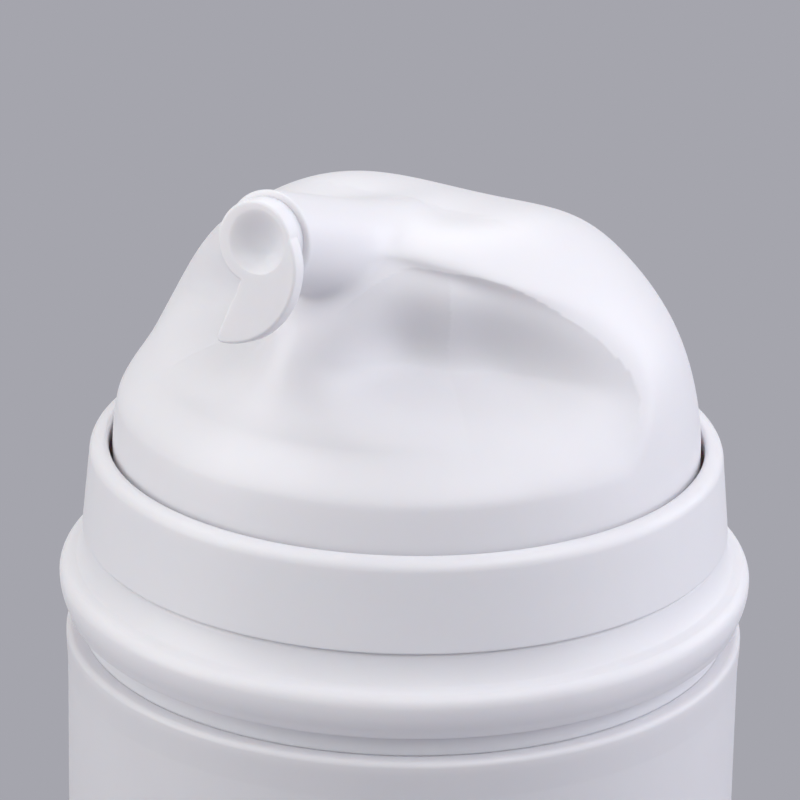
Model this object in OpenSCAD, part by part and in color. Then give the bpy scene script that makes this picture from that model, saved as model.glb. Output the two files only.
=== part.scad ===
// Airless pump bottle: a cylinder with a rising follower piston, a pressed-on collar and a domed
// press head with an upturned spout. Millimetres, +Z up, the spout points along -Y, the base
// stands on z = 0 and the pump's axis is the Z axis.

/* [Bottle] */
// Outer diameter of the bottle
bottle_d = 50; // [46:0.5:60]
// Height of the bottle from the base to its rim
bottle_h = 85; // [70:1:140]
// Wall thickness of the bottle
bottle_wall = 1.6; // [1.2:0.1:2.4]
// Height of the rounding at the base edge
base_round = 1.2; // [0.6:0.1:2]
// Diameter of the vent hole in the base cap
vent_d = 1.5; // [1:0.1:3]
// Thickness of the base cap's disc
base_cap_t = 1.6; // [1.2:0.1:2.5]
// Height of the base cap's rim
base_cap_h = 5; // [4:0.5:8]

/* [Follower piston] */
// Height of the follower piston's wiping rim
follower_h = 13; // [9:0.5:18]
// Wall thickness of the follower piston
follower_wall = 1.4; // [1:0.1:2]
// Reach of the ledge in the bottle that carries the pump deck
ledge_w = 0.6; // [0.4:0.1:1]
// Gap between the base cap and the resting follower piston
follower_gap = 1.5; // [0.5:0.5:4]

/* [Collar] */
// Height of the band's lower edge above the bottle's rim
band_z = 7.86; // [7:0.1:9]
// Height of the lip above the bottle's rim
lip_z = 14.8; // [12:0.1:18]
// How far the bead that stops an overcap stands out from the bottle's wall
bead_out = 0.6; // [0.2:0.1:1.5]
// How far the band's lower edge stands in from the bead
band_in = 1.72; // [1.5:0.02:2]
// How far the band draws in from its lower edge to the lip
band_taper = 0.53; // [0.2:0.01:0.8]
// Thickness of the lip
lip_t = 0.9; // [0.7:0.1:1.4]
// How far the groove above the rim stands in from the bottle's wall
groove_in = 1.1; // [0.8:0.1:1.4]
// Thickness of the collar's floor
collar_floor_t = 1.5; // [1:0.1:2.5]

/* [Press head] */
// Gap between the collar's lip and the head's skirt
skirt_gap = 0.8; // [0.4:0.1:1.2]
// Height of the dome's equator above the bottle's rim
dome_z = 14; // [12:0.5:16]
// Height of the dome above its equator, before the thumb pad is cut
dome_h = 20.9; // [18:0.1:24]
// Height of the skirt's lower edge above the bottle's rim
skirt_z = 5; // [4.5:0.5:7]
// Wall thickness of the skirt
skirt_wall = 1.7; // [1.3:0.1:2.2]
// Stroke of the pump
stroke = 6.5; // [4:0.5:6.5]
// Height of the thumb pad above the bottle's rim, at the pump's axis
pad_z = 32.8; // [31.5:0.1:33.5]
// Sideways dishing of the thumb pad, mm per mm squared
pad_dish = 0.009; // [0:0.001:0.02]
// How far the hood's front edge stands before the pump's axis at its lowest point
hood_edge = -0.1; // [-2:0.1:2]
// Depth of the scoops under the spout
scoop_depth = 4.3; // [2:0.1:4.6]
// Direction of each scoop's middle, in degrees from the spout
scoop_turn = 45; // [38:1:52]

/* [Spout] */
// Outer diameter of the spout
spout_d = 6.9; // [6:0.1:8]
// How far the spout's end stands in from the skirt's side
spout_inset = 2.35; // [1.7:0.05:5.6]
// Height of the spout's end above the bottle's rim, at its middle
spout_z = 35.85; // [35:0.1:37]
// Rise of the spout, degrees
spout_rise = 19.4; // [16:0.1:22]
// Tilt of the spout's end face, degrees
face_tilt = 9; // [0:1:15]
// Diameter of the product channel
channel_d = 3.2; // [2:0.1:3.6]

/* [Nozzle plug] */
// Diameter of the plug's disc
plug_d = 6.1; // [5.6:0.1:6.8]
// Thickness of the plug's disc
plug_t = 1.75; // [1.4:0.05:2.2]
// Thickness of the pull tab
tab_t = 1; // [0.7:0.1:1.3]
// Diameter of the dimple in the plug's face
dimple_d = 4.4; // [3:0.1:4.8]
// Depth of the dimple in the plug's face
dimple_depth = 1; // [0.4:0.1:1.2]
// Length of the plug's stalk in the channel
stalk_l = 4; // [2:0.5:5]
// Radius of the pull tab's outer edge
tab_turn_r = 5.75; // [5.4:0.05:6.2]

/* [Pump] */
// Bore of the pump chamber
chamber_bore = 12; // [10:0.5:13]
// Wall thickness of the pump chamber
chamber_wall = 1.2; // [1:0.1:1.6]
// Depth of the chamber's floor below the bottle's rim
chamber_depth = 17; // [15:0.5:22]
// Diameter of the chamber's flange
flange_d = 22; // [19:0.5:24]
// Thickness of the chamber's flange
flange_t = 1.5; // [1:0.1:2]
// Thickness of the gasket under the chamber's flange
gasket_t = 0.8; // [0.5:0.1:1.2]
// Thickness of the pump deck
deck_t = 2.6; // [2:0.1:3.5]
// Wire diameter of the O-ring on the deck
seal_d = 1.6; // [1.2:0.1:2]
// Outer diameter of the stem
stem_d = 6.6; // [6:0.1:7.2]
// Bore of the stem
stem_bore = 3.2; // [2:0.1:3.6]
// Length of the stem above its spring flange
stem_top = 6.8; // [4:0.1:7]
// Lost motion of the piston on the stem
lost_motion = 1; // [0.5:0.1:1.5]
// Height of the pump piston
piston_h = 6.2; // [5:0.1:7]
// Diameter of the inlet hole in the chamber's floor
inlet_d = 4; // [3:0.1:5]
// Diameter of the inlet valve's disc
valve_d = 7; // [6:0.1:8]
// Thickness of the inlet valve's disc
valve_t = 0.8; // [0.5:0.1:1.2]
// Lift of the inlet valve
valve_lift = 0.8; // [0.4:0.1:1]

/* [Spring] */
// Wire diameter of the return spring
wire_d = 0.7; // [0.5:0.05:0.8]
// Mean diameter of the return spring's coil
coil_d = 9; // [8.6:0.1:10]
// Turns of the return spring
coil_turns = 6; // [4:0.5:7]

/* [Fits] */
// Running clearance of sliding and turning pieces, on the radius
run_gap = 0.05; // [0.03:0.01:0.1]
// Clearance between pieces that only pass each other, on the radius
free_gap = 0.3; // [0.2:0.05:0.5]

/* [Hidden] */
fine = 96;
eps = 0.01;

// Bottle, measured up from the base
bottle_r = bottle_d/2;
bore_r = bottle_r - bottle_wall;
rim = bottle_h;
rim_round = 0.3;
foot_ease = 0.4;
ledge_land = 0.6;
cap_z = 3;
cap_ridge = 0.3;
cap_play = 0.1;
cap_edge = 0.6;
cap_rim_t = 1.4;
lip_relief = 0.4;
lip_rise = 0.8;
lip_h = 2.4;
follower_z = base_cap_h + follower_gap;

// Collar, measured out from the bottle's wall
bead_r = bottle_r + bead_out;
band_r = bead_r - band_in;
lip_r = band_r - band_taper;
well_r = lip_r - lip_t;
groove_r = bottle_r - groove_in;
groove_h = 1.7;
bead_z = 3.3;
bead_round = 0.9;
bead_half = 1.2;
bead_land = 0.5;
cove_z = 7.2;
cove_out = 0.55;
cove_r = 2.9;
cove_half = 2.75;
band_step = 0.65;
band_lip = 0.3;
floor_seat = 1.5;

// Pump axis stack, worked down from the head's skirt at the end of its stroke
end_gap = 0.7;
skirt_bottom = rim + skirt_z;
floor_top = skirt_bottom - stroke - end_gap;
flange_top = floor_top - collar_floor_t;
gasket_top = flange_top - flange_t;
deck_top = gasket_top - gasket_t;
deck_bottom = deck_top - deck_t;
chamber_r = chamber_bore/2;
chamber_out = chamber_r + chamber_wall;
chamber_bottom = rim - chamber_depth;
chamber_floor_t = 1.4;
chamber_floor = chamber_bottom + chamber_floor_t;
chamber_rise = 5;
chamber_top = rim + chamber_rise;
retainer_skirt = 4;
retainer_wall = 1.4;
retainer_cap_t = 1.6;
retainer_plug = 1.2;
retainer_top = chamber_top + retainer_cap_t;
valve_top = chamber_floor + valve_t;
cage_t = 0.8;
cage_bottom = valve_top + valve_lift;
cage_top = cage_bottom + cage_t;

// Stem and piston at rest: the piston's top stands clear under the retainer's plug by the
// lost motion and a free gap
piston_top = chamber_top - retainer_plug - lost_motion - free_gap;
piston_bottom = piston_top - piston_h;
shoulder_z = piston_top + lost_motion;
stem_r = stem_d/2;
stem_shoulder = 0.6;
neck_r = stem_r - stem_shoulder;
plug_head_t = 1.6;
plug_head_gap = 1.4;
plug_head_r = chamber_r - plug_head_gap;
spring_flange_t = 1.2;
spring_flange_rim = 1.2;
spring_flange_r = coil_d/2 + wire_d/2 + spring_flange_rim;
spring_seat = retainer_top;
spring_solid = 5.6;
spring_top = spring_seat + stroke + spring_solid;
stem_tip = spring_top + spring_flange_t + stem_top;

// Head, measured up from the bottle's rim where a name starts with z
dome_r = well_r - skirt_gap;
cavity_r = dome_r - skirt_wall;
cavity_rise = 1;
cavity_haunch = 5.5;
cavity_roof = 8.5;
haunch_in = 3.4;
roof_in = 9;
boss_wall = 1.6;
socket_r = 6;
socket_gap = 0.3;
socket_bottom = spring_top + spring_flange_t + socket_gap;
socket_top = stem_tip + 0.8;
socket_lip_t = 1;
pad_round = 3;
pad_front = 0.15;
pad_lead = 0.02;
pad_back = 0.018;
pad_weight = 0.95;
web_drop = 0.6;
scoop_span = 33.5;
scoop_lead = 31;
scoop_z = 24.4;
scoop_climb = 0.045;
scoop_drop = 0.0006;
scoop_above = 4.8;
scoop_taper = 0.0012;
scoop_least = 0.8;
scoop_below = 2.35;
scoop_join = 1.8;
scoop_onset = 2;
flat_depth = 1.5;
flat_start = 17.6;
flat_full = 21;
flat_end = 22.5;
flat_fade = 4.5;
flat_span = 78;
hood_z = 24;
hood_curve = 0.13;
hood_weight = 0.8;
hood_blend = 1.2;
cheek = 0.4;
cheek_turn = 98;
cheek_width = 26;
cheek_z = 24.2;
cheek_h = 4;
spout_reach = dome_r - spout_inset;
spout_edge = 0.5;
spout_l = 26;
spout_root = 4;
spout_blend = 2.5;
hood_join = 3;

// Spout end: its middle, and the level of the spout's axis at the pump's axis
spout_end = [0, -spout_reach, rim + spout_z];
axis_z = rim + spout_z - spout_reach*tan(spout_rise);

// Smooth minimum and maximum of two distances, blended over a width k
function smin(a, b, k) = let (h = max(k - abs(a - b), 0)/k) min(a, b) - h*h*h*k/6;
function smax(a, b, k) = -smin(-a, -b, k);

// Distance-like field of the head's outer skin at u forward, v sideways, z above the rim:
// a dome whose hood keeps the full size behind a parabolic front edge, flattened and scooped
// under that edge on both sides, and joined to the spout's tube
function edge_u(z) = hood_edge + hood_curve*pow(z - hood_z, 2);
function ramp(t) = let (c = min(max(t, 0), 1)) c*c*(3 - 2*c);
function dome_field(u, v, z) =
    norm([u, v, max(z - dome_z, 0)*dome_r/dome_h]) - dome_r;
function pad_field(u, v, z) =
    z - pad_z - (u > 0 ? pad_front*u : pad_lead*u - pad_back*u*u) - pad_dish*v*v;
function swell_field(turn, z) =
    cheek*exp(-pow((turn - cheek_turn)/cheek_width, 2) - pow((z - cheek_z)/cheek_h, 2));
function flat_field(turn, z) =
    flat_depth*exp(-pow(turn/flat_span, 6) - pow(max(z - flat_end, 0)/flat_fade, 2))
        *ramp((z - flat_start)/(flat_full - flat_start));
function scoop_field(turn, z) =
    let (off = pow(turn - scoop_turn, 2),
         ahead = max(scoop_turn - turn, 0),
         span = ahead > 0 ? scoop_lead : scoop_span,
         middle = scoop_z + (ahead > 0 ? scoop_climb*ahead : -scoop_drop*off),
         half = z > middle ? max(scoop_above - scoop_taper*off, scoop_least) : scoop_below)
    scoop_depth*exp(-pow(off/(span*span), 2) - pow((z - middle)/half, 2));
function tube_field(u, v, z) =
    let (du = u - spout_reach, dz = z - spout_z,
         back = -du*cos(spout_rise) - dz*sin(spout_rise))
    smax(smax(norm([dz*cos(spout_rise) - du*sin(spout_rise), v]) - spout_d/2,
              du*cos(face_tilt) + dz*sin(face_tilt), spout_edge),
         back - spout_l, spout_root);
function head_field(u, v, z) =
    let (turn = atan2(v, u),
         dome = dome_field(u, v, z) - swell_field(turn, z),
         top = pad_weight*pad_field(u, v, z),
         dent = scoop_field(turn, z) + flat_field(turn, z),
         tube = tube_field(u, v, z),
         hood = smax(smax(dome, top, pad_round), hood_weight*(u - edge_u(z)), hood_blend),
         low = smax(dome + dent, top + min(dent, web_drop), pad_round))
    smin(smin(low, tube, spout_blend), smin(hood, tube, hood_join),
         max(scoop_join*min(1, scoop_onset*dent), eps));

// The skin is drawn as rings, one on each of a fan of section planes that turns from level at
// the skirt to square across the spout. Each plane is given by a middle, [u, z] above the rim,
// and its slope. Where the hood overhangs the scoops the middles follow the hood's front edge,
// so that one ray of each ring runs out along that edge.
end_dir = [cos(face_tilt), sin(face_tilt)];
function behind_end(d) = [spout_reach, spout_z] - d*end_dir;
fan = [
    [[0, skirt_z], 0],
    [[0, dome_z], 0],
    [[edge_u(hood_z), hood_z - 0.5], 3],
    [[edge_u(pad_z - 5.3), pad_z - 5.3], 4],
    [[edge_u(pad_z - 2.8), pad_z - 2.8], 6],
    [[edge_u(pad_z - 0.8), pad_z - 0.8], 10],
    [[edge_u(pad_z + 1), pad_z + 1], 16],
    [behind_end(3.2), 48],
    [behind_end(0.8), 90 - face_tilt],
    [behind_end(0.2), 90 - face_tilt],
    [behind_end(0.02), 90 - face_tilt]
];
fan_steps = [1, 7, 6, 5, 5, 5, 6, 3, 1, 1];
under_hood = [2, 5];
front_rays = 15;
back_rays = 14;
edge_gap = 1.2;
ray_max = 1.4*dome_r;
halvings = 13;
half_turns = concat([for (i = [0:front_rays]) (90 - edge_gap)*i/front_rays],
                    [for (i = [0:back_rays]) 90 + edge_gap + (90 - edge_gap)*i/back_rays]);
half = len(half_turns) - 1;

function mix(a, b, t) = a*(1 - t) + b*t;
// Point at distance r along the ray that leaves a section's middle at angle a from its front
function ray_point(mid, dir, side, a, r) =
    [mid[0] + dir[0]*r*cos(a), side*r*sin(a), mid[1] + dir[1]*r*cos(a)];
// Distance along that ray at which the field changes sign, by halving
function reach(mid, dir, a, lo, hi, n) =
    n == 0 ? (lo + hi)/2
    : let (m = (lo + hi)/2, p = ray_point(mid, dir, 1, a, m))
      head_field(p[0], p[1], p[2]) < 0 ? reach(mid, dir, a, m, hi, n - 1)
                                       : reach(mid, dir, a, lo, m, n - 1);
function ring(mid, slope) =
    let (dir = [cos(slope), -sin(slope)],
         reaches = [for (a = half_turns) reach(mid, dir, a, 0, ray_max, halvings)])
    [for (i = [0:2*half - 1])
        let (j = i <= half ? i : 2*half - i, side = i <= half ? 1 : -1,
             s = ray_point(mid, dir, side, half_turns[j], reaches[j]))
        [s[1], -s[0], s[2] + rim]];

module head_skin() {
    planes = concat([for (k = [0:len(fan_steps) - 1], i = [0:fan_steps[k] - 1])
                        let (t = i/fan_steps[k], mid = mix(fan[k][0], fan[k + 1][0], t))
                        [[k >= under_hood[0] && k <= under_hood[1] ? edge_u(mid[1]) : mid[0],
                          mid[1]],
                         mix(fan[k][1], fan[k + 1][1], t)]],
                    [fan[len(fan) - 1]]);
    rings = [for (pl = planes) ring(pl[0], pl[1])];
    m = 2*half;
    n = len(rings);
    points = [for (r = rings, p = r) p];
    faces = concat(
        [[for (i = [0:m - 1]) m - 1 - i]],
        [for (k = [0:n - 2], i = [0:m - 1])
            [k*m + i, k*m + (i + 1)%m, (k + 1)*m + (i + 1)%m]],
        [for (k = [0:n - 2], i = [0:m - 1])
            [k*m + i, (k + 1)*m + (i + 1)%m, (k + 1)*m + i]],
        [[for (i = [0:m - 1]) (n - 1)*m + i]]);
    polyhedron(points = points, faces = faces);
}

// Cylinder between two heights, and a ring between two radii and two heights
module post(r, z0, z1) {
    translate([0, 0, z0]) cylinder(r = r, h = z1 - z0, $fn = fine);
}
module band(r0, r1, z0, z1) {
    difference() {
        post(r1, z0, z1);
        post(r0, z0 - 1, z1 + 1);
    }
}
// Moves a shape drawn along +Z so that it stands on the spout's end face
module at_spout_end() {
    translate(spout_end) rotate([90 - face_tilt, 0, 0]) children();
}

// Bottle: open tube with a rounded foot edge, a softened rim and a groove for the base cap
module bottle_body() {
    c = base_round;
    color("white") rotate_extrude($fn = fine) polygon(concat(
        [[bore_r, foot_ease], [bore_r + foot_ease, 0]],
        [for (a = [-90:15:0]) [bottle_r - c + c*cos(a), c + c*sin(a)]],
        [[bottle_r, rim - rim_round], [bottle_r - rim_round, rim], [bore_r + rim_round, rim],
         [bore_r, rim - rim_round],
         [bore_r, deck_bottom], [bore_r - ledge_w, deck_bottom],
         [bore_r - ledge_w, deck_bottom - ledge_land],
         [bore_r, deck_bottom - ledge_land - ledge_w],
         [bore_r, cap_z + cap_ridge + cap_play], [bore_r + cap_ridge + cap_play, cap_z],
         [bore_r, cap_z - cap_ridge - cap_play]]));
}

// Base cap: shallow cup clipped into the bottle's foot, with a vent hole
module base_cap() {
    r = bore_r - run_gap;
    color("whitesmoke") difference() {
        rotate_extrude($fn = fine) polygon([
            [0, 0], [r - cap_edge, 0], [r, cap_edge], [r, cap_z - cap_ridge],
            [r + cap_ridge, cap_z], [r, cap_z + cap_ridge], [r, base_cap_h],
            [r - cap_rim_t, base_cap_h], [r - cap_rim_t, base_cap_t], [0, base_cap_t]]);
        translate([0, 0, -1]) cylinder(d = vent_d, h = base_cap_t + 2, $fn = 32);
    }
}

// Follower piston: a disc with two wiping lips and a well that clears the pump chamber
module follower_piston() {
    r = bore_r - run_gap;
    w = follower_wall;
    side = r - lip_relief;
    hollow_r = chamber_out + free_gap + 1;
    top = follower_z + follower_h;
    color("gainsboro") rotate_extrude($fn = fine) polygon([
        [0, follower_z], [hollow_r + w, follower_z], [hollow_r + w, top - 3*w],
        [side - w, top - 3*w], [side - w, follower_z], [side, follower_z],
        [r, follower_z + lip_rise], [side, follower_z + lip_h], [side, top - lip_h],
        [r, top - lip_rise], [side, top], [r - w, top], [side - w, top - 2*w],
        [hollow_r, top - 2*w], [hollow_r, follower_z + w], [0, follower_z + w]]);
}

// Collar: rolled lip, tapered band, cove, bead and groove outside; a well for the head's
// skirt inside; a spigot in the bottle and a floor that holds the chamber's flange down
module collar() {
    g = groove_r;
    b = bead_r;
    spigot_r = bore_r - run_gap;
    hole_r = flange_d/2 - floor_seat;
    top = rim + lip_z;
    lt = lip_t/2;
    color("white") rotate_extrude($fn = fine) polygon(concat(
        [[g, rim], [g, rim + groove_h], [b - bead_land, rim + groove_h + band_lip]],
        [for (a = [-60:15:75])
            [b - bead_round*(1 - cos(a)), rim + bead_z + bead_half*sin(a)]],
        [for (a = [255:-15:195])
            [b + cove_out + cove_r*cos(a), rim + cove_z + cove_half*sin(a)]],
        [[band_r - band_step, rim + band_z - band_lip], [band_r, rim + band_z],
         [lip_r, top - lt]],
        [for (a = [15:15:165]) [lip_r - lt + lt*cos(a), top - lt + lt*sin(a)]],
        [[well_r, top - lt], [well_r, floor_top], [hole_r, floor_top],
         [hole_r, flange_top], [flange_d/2 + run_gap, flange_top], [flange_d/2 + run_gap, deck_top],
         [spigot_r, deck_top], [spigot_r, rim]]));
}

// Pump deck: plate with an O-ring groove in its edge and a hole for the chamber
module pump_deck() {
    r = bore_r - run_gap;
    color("white") difference() {
        band(chamber_out + run_gap, r, deck_bottom, deck_top);
        translate([0, 0, (deck_bottom + deck_top)/2]) rotate_extrude($fn = fine)
            translate([bore_r - seal_d/2, 0]) circle(d = seal_d + 0.02, $fn = 32);
    }
}

// Deck seal: O-ring in the deck's edge that touches the bottle's wall
module deck_seal() {
    color("dimgray") translate([0, 0, (deck_bottom + deck_top)/2]) rotate_extrude($fn = fine)
        translate([bore_r - seal_d/2 - 0.01, 0]) circle(d = seal_d - 0.02, $fn = 32);
}

// Chamber gasket: flat washer between the deck and the chamber's flange
module chamber_gasket() {
    color("gray") band(chamber_out + run_gap, flange_d/2, deck_top, gasket_top);
}

// Pump chamber: metering cylinder with a floor, an inlet hole and a flange
module pump_chamber() {
    color("ivory") difference() {
        union() {
            post(chamber_out, chamber_bottom, chamber_top);
            post(flange_d/2, gasket_top, flange_top);
        }
        post(chamber_r, chamber_floor, chamber_top + 1);
        post(inlet_d/2, chamber_bottom - 1, chamber_floor + 1);
    }
}

// Valve cage: pressed-in ring with crossed bars that stop the inlet valve
module valve_cage() {
    inner = valve_d/2 + free_gap;
    color("whitesmoke") {
        band(inner, chamber_r - 0.01, chamber_floor, cage_top);
        intersection() {
            post(inner + 0.2, cage_bottom, cage_top);
            union() {
                translate([-chamber_r, -0.6, cage_bottom]) cube([chamber_bore, 1.2, cage_t]);
                translate([-0.6, -chamber_r, cage_bottom]) cube([1.2, chamber_bore, cage_t]);
            }
        }
    }
}

// Inlet valve: loose disc that closes the inlet hole
module inlet_valve() {
    color("lightgray") post(valve_d/2, chamber_floor, valve_top);
}

// Retainer ring: cap over the chamber's top with a plug inside it and a guide for the stem
module retainer_ring() {
    guide = stem_r + run_gap;
    color("white") {
        band(guide, chamber_out + retainer_wall, chamber_top, retainer_top);
        band(chamber_out + run_gap, chamber_out + retainer_wall, chamber_top - retainer_skirt,
             chamber_top);
        band(guide, chamber_r - run_gap, chamber_top - retainer_plug, chamber_top);
    }
}

// Pump piston: sleeve on the stem's neck with a wiping lip at each end
module pump_piston() {
    r = chamber_r - run_gap;
    color("lightsteelblue") rotate_extrude($fn = fine) polygon([
        [neck_r + run_gap, piston_bottom], [plug_head_r - 0.2, piston_bottom],
        [r - 0.5, piston_bottom], [r, piston_bottom + 0.6], [r - 0.4, piston_bottom + 1.6],
        [r - 0.4, piston_top - 1.6], [r, piston_top - 0.6], [r - 0.5, piston_top],
        [neck_r + run_gap, piston_top]]);
}

// Stem: tube with a spring flange, a shoulder above the piston and two cross ports
module stem() {
    port_z = piston_bottom + 1.1;
    color("white") difference() {
        union() {
            post(neck_r, piston_bottom, shoulder_z + eps);
            post(stem_r, shoulder_z, stem_tip);
            post(spring_flange_r, spring_top, spring_top + spring_flange_t);
        }
        post(stem_bore/2, piston_bottom - 1, stem_tip + 1);
        for (turn = [0, 90])
            rotate([90, 0, turn]) translate([0, port_z, 0])
                cylinder(d = 1.2, h = stem_d + 2, center = true, $fn = 24);
    }
}

// Stem plug: head under the piston with a shank in the stem's bore
module stem_plug() {
    color("lightgray") {
        post(plug_head_r, piston_bottom - plug_head_t, piston_bottom);
        post(stem_bore/2 - 0.01, piston_bottom - eps, piston_bottom + 0.4);
    }
}

// Return spring: closed helix of round wire, standing between the retainer and the flange
module return_spring() {
    sides = 8;
    per_turn = 20;
    steps = coil_turns*per_turn;
    r = coil_d/2;
    w = wire_d/2;
    z0 = spring_seat + w + 0.02;
    rise = spring_top - spring_seat - wire_d - 0.04;
    // Wire rises slowly in its end coils, which lie almost closed
    function lift(t) = rise*(t < 0.12 ? 0.5*t : t > 0.88 ? 1 - 0.5*(1 - t)
                             : 0.06 + (t - 0.12)*0.88/0.76);
    points = [for (i = [0:steps], j = [0:sides - 1])
        let (a = 360*i/per_turn, b = 360*j/sides, rr = r + w*cos(b))
        [rr*cos(a), rr*sin(a), z0 + lift(i/steps) + w*sin(b)]];
    faces = concat(
        [[for (j = [0:sides - 1]) j]],
        [for (i = [0:steps - 1], j = [0:sides - 1])
            [i*sides + j, (i + 1)*sides + j, (i + 1)*sides + (j + 1)%sides]],
        [for (i = [0:steps - 1], j = [0:sides - 1])
            [i*sides + j, (i + 1)*sides + (j + 1)%sides, i*sides + (j + 1)%sides]],
        [[for (j = [0:sides - 1]) steps*sides + sides - 1 - j]]);
    color("silver") polyhedron(points = points, faces = faces);
}

// Stem socket: insert in the head that grips the stem and leads into the channel
module stem_socket() {
    color("whitesmoke") difference() {
        post(socket_r, socket_bottom, socket_top + socket_lip_t);
        post(stem_r + run_gap, socket_bottom - 1, stem_tip + 0.3);
        post(channel_d/2, stem_tip - 1, socket_top + socket_lip_t + 1);
    }
}

// Actuator shell: the head's skin, hollowed to its skirt, with the socket's seat, the product
// channel up to the spout and the outlet bore square to the end face
module actuator_shell() {
    boss_r = socket_r + boss_wall;
    roof = rim + dome_z + cavity_roof;
    color("white") difference() {
        head_skin();
        difference() {
            rotate_extrude($fn = fine) polygon([
                [0, skirt_bottom - 1], [cavity_r, skirt_bottom - 1],
                [cavity_r, rim + dome_z + cavity_rise],
                [cavity_r - haunch_in, rim + dome_z + cavity_haunch],
                [cavity_r - roof_in, roof], [0, roof]]);
            post(boss_r, socket_bottom, roof + 1);
        }
        post(socket_r + 0.01, skirt_bottom - 1, socket_top + socket_lip_t);
        post(channel_d/2, socket_top, axis_z);
        translate([0, 0, axis_z]) rotate([90 - spout_rise, 0, 0])
            cylinder(d = channel_d, h = spout_reach/cos(spout_rise) - 3, $fn = 48);
        translate([0, 0, axis_z]) sphere(d = channel_d, $fn = 48);
        at_spout_end() translate([0, 0, -stalk_l - 1])
            cylinder(d = channel_d, h = stalk_l + 3, $fn = 48);
    }
}

// Nozzle plug: comma-shaped stopper with a dimpled face, a curled pull tab and a hollow stalk
module nozzle_plug() {
    r = plug_d/2;
    gap = 0.02;
    rim_t = 0.2;
    tab_out = 0.56;
    tab_z = -1.8;
    root_r = 4.6;
    notch = 254;
    // Tab outline: an arc from the disc to the tab's widest place, a larger arc down to the tip
    // and a straighter inner edge back to the disc
    root = [for (a = [35:-7:7])
        [r + tab_out - root_r*(1 - cos(a)), tab_z + root_r*sin(a)]];
    outer = [for (a = [0:8:88])
        [r + tab_out - tab_turn_r*(1 - cos(a)), tab_z - tab_turn_r*sin(a)]];
    tip = outer[len(outer) - 1];
    inner = [tip + [-0.35, 0.25], tip + [-0.17, 1.06], tip + [0.23, 2.23], tip + [0.81, 3.66],
             (r - 0.05)*[cos(notch), sin(notch)]];
    color("white") at_spout_end() {
        difference() {
            union() {
                translate([0, 0, gap]) cylinder(r = r, h = plug_t - rim_t, $fn = fine);
                translate([0, 0, gap + plug_t - rim_t])
                    cylinder(r1 = r, r2 = r - rim_t, h = rim_t, $fn = fine);
                translate([0, 0, gap + plug_t - tab_t]) linear_extrude(tab_t)
                    polygon(concat([[0, 0]], root, outer, inner));
            }
            translate([0, 0, gap + plug_t - dimple_depth])
                cylinder(d1 = dimple_d - 0.6, d2 = dimple_d, h = dimple_depth + eps, $fn = fine);
        }
        translate([0, 0, -stalk_l]) cylinder(r = channel_d/2 - run_gap, h = stalk_l + gap + 0.1,
                                             $fn = 48);
    }
}

bottle_body();
base_cap();
follower_piston();
collar();
pump_deck();
deck_seal();
chamber_gasket();
pump_chamber();
valve_cage();
inlet_valve();
retainer_ring();
pump_piston();
stem();
stem_plug();
return_spring();
stem_socket();
actuator_shell();
nozzle_plug();
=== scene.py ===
"""Looks of an airless pump bottle: white satin polypropylene, a domed press head with an upturned
spout, a pull-out plug in the spout, a beaded collar and a plain round bottle.

Sizes are in millimetres unless a name says otherwise. +Z is up and the spout points along -Y.
Shapes are worked out in the head's own axes, u forward along the spout, v to its right and z up
from the bottle's rim, and are placed in the mesh in metres.
"""

from __future__ import annotations

import logging
import math
from dataclasses import dataclass, field
from enum import Enum

import bpy
import numpy as np
from mathutils import Matrix, Vector

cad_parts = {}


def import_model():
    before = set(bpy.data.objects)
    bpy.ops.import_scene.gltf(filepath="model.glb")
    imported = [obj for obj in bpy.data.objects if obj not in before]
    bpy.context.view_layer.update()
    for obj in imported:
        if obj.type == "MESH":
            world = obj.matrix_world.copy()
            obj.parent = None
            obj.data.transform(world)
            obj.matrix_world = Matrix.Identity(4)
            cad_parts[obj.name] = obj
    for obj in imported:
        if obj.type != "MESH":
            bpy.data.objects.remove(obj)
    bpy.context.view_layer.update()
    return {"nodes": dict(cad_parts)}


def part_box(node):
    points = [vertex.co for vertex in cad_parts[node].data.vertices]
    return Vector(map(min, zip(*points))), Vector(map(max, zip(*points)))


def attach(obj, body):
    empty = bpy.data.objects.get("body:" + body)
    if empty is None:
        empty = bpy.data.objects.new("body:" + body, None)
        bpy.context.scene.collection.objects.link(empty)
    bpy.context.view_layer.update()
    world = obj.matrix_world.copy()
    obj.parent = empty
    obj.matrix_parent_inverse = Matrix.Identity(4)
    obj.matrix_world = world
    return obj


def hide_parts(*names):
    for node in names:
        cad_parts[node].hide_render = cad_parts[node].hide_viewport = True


MM = 0.001
TURNED_COLUMNS = 320
log = logging.getLogger("airless_pump_bottle")


class Slot(Enum):
    """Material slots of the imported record."""

    BOTTLE = "bottle_pp"
    COLLAR = "collar_pp"
    HEAD = "head_pp"
    PLUG = "plug_pe"
    BASE = "base_pp"
    INNER = "inner_pp"
    PISTON = "piston_pe"
    SEAL = "seal_rubber"
    SPRING = "spring_steel"


def linear(hex_colour: str) -> tuple[float, float, float, float]:
    """Linear colour of an sRGB hex value.

    Args:
        hex_colour: six hex digits with a leading hash.

    Returns:
        Linear red, green and blue with an alpha of 1.
    """
    parts = [int(hex_colour[i : i + 2], 16) / 255 for i in (1, 3, 5)]
    lin = [c / 12.92 if c <= 0.04045 else ((c + 0.055) / 1.055) ** 2.4 for c in parts]
    return (lin[0], lin[1], lin[2], 1.0)


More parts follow.
